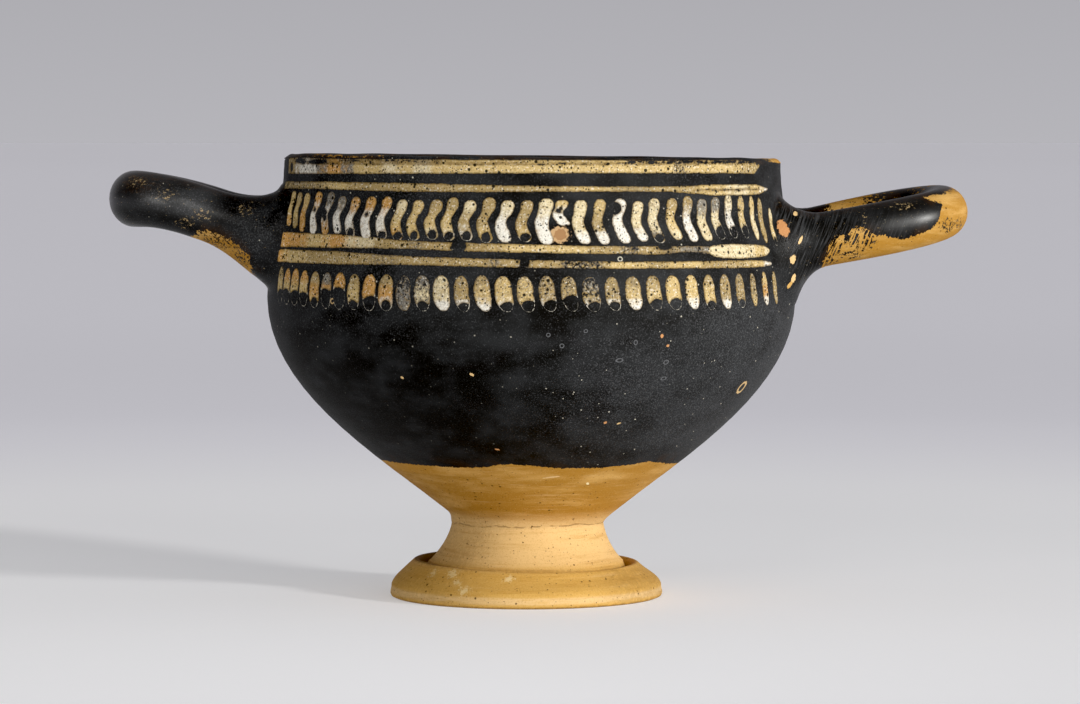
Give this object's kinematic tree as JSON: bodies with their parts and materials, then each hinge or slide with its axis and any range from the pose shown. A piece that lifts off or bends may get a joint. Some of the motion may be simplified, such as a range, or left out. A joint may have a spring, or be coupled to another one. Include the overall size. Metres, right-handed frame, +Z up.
{
  "type": "cup-skyphos",
  "caption": "Ancient black-gloss clay drinking cup: deep hollow bowl with a horizontal loop handle each side, on a flared stem and disc foot, with painted strokes.",
  "frame": {"origin": "on the surface the cup stands on, halfway between the two handle tips", "axes": "+Z up along the bowl's axis, +X towards the longer handle, -Y towards the better-kept painted side"},
  "size_m": [0.1714, 0.1058, 0.0886],
  "materials": {
    "black_gloss": "worn black slip, satin, bare ochre clay on the stem and foot",
    "added_colour": "matt white and yellow slip painted over the black, pitted and flaked"
  },
  "bodies": {
    "root": {"cup_skyphos": "black_gloss"}
  },
  "joints": []
}
